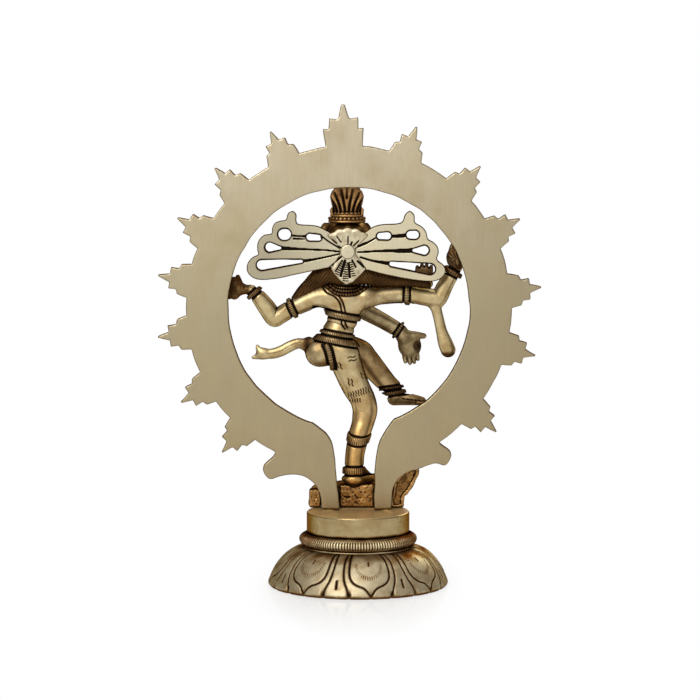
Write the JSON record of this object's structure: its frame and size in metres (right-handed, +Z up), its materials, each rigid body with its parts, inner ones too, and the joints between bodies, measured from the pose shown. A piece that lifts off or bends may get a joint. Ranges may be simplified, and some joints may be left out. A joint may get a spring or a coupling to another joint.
{
  "type": "brass nataraja statue",
  "caption": "Free-standing brass statue: a four-armed dancing figure on a dwarf inside a flat ring of flames, on a round lotus pedestal with a ribbed collar.",
  "frame": {"origin": "centre of the pedestal's foot, on the surface it stands on", "axes": "+Z up along the pedestal's axis; the figure faces -Y, and its own right hand is on the -X side"},
  "size_m": [0.1615, 0.076, 0.2022],
  "materials": {
    "antique_brass": "polished high points with dark brown patina in the recesses",
    "satin_brass": "pale, flat-ground satin with faint stains",
    "turned_brass": "lathe-turned satin",
    "cast_brass": "rough sand-cast skin with dark patina",
    "steel": "plain zinc-plated hardware"
  },
  "bodies": {
    "root": {"lotus_base": "antique_brass", "ribbed_collar": "antique_brass", "plinth_drum": "turned_brass", "clamp_stud": "steel", "clamp_washer": "steel", "clamp_nut": "steel", "flame_ring": "satin_brass", "dwarf": "cast_brass", "figure_body": "antique_brass", "raised_leg": "antique_brass", "rear_left_arm": "antique_brass", "rear_right_arm": "antique_brass", "front_left_arm": "antique_brass", "front_right_arm": "antique_brass", "head": "antique_brass", "crown": "antique_brass", "hair_fan": "satin_brass", "rosette": "satin_brass", "fan_rivet": "satin_brass", "hip_sash": "antique_brass", "arm_scarf": "antique_brass", "hand_drum": "antique_brass", "flame_bowl": "antique_brass"}
  },
  "joints": []
}
